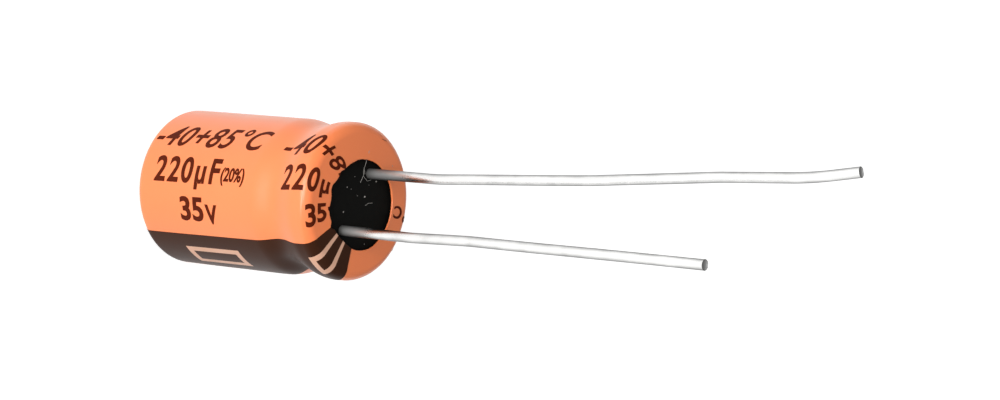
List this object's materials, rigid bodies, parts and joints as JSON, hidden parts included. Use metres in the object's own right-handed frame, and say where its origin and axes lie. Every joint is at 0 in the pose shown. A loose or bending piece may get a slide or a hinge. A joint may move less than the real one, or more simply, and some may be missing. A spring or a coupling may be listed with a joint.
{
  "type": "electrolytic capacitor",
  "caption": "Radial aluminium electrolytic capacitor: sleeved, beaded can sealed by a rubber bung, with a long positive and a short negative wire lead.",
  "frame": {"origin": "centre of the plane that the capacitor stands on, under its head, on the axis of the can", "axes": "+Z along the axis of the can from the head to the leads; +X towards the short negative lead and the polarity band"},
  "size_m": [0.0085, 0.0082, 0.0407],
  "materials": {
    "sleeve": "satin shrunk sleeve",
    "ink": "satin printed ink",
    "can_aluminium": "drawn",
    "bung_rubber": "matte",
    "foil": "etched",
    "paper": "soaked paper",
    "tape": "satin",
    "tab_aluminium": "pressed",
    "tinned_wire": "bright tin plate"
  },
  "bodies": {
    "root": {"sleeve": "sleeve", "polarity_band": "ink", "can": "can_aluminium", "bung": "bung_rubber", "anode_foil": "foil", "cathode_foil": "foil", "inner_separator": "paper", "outer_separator": "paper", "winding_tape": "tape", "anode_tab": "tab_aluminium", "cathode_tab": "tab_aluminium", "anode_lead": "tinned_wire", "cathode_lead": "tinned_wire"}
  },
  "joints": []
}
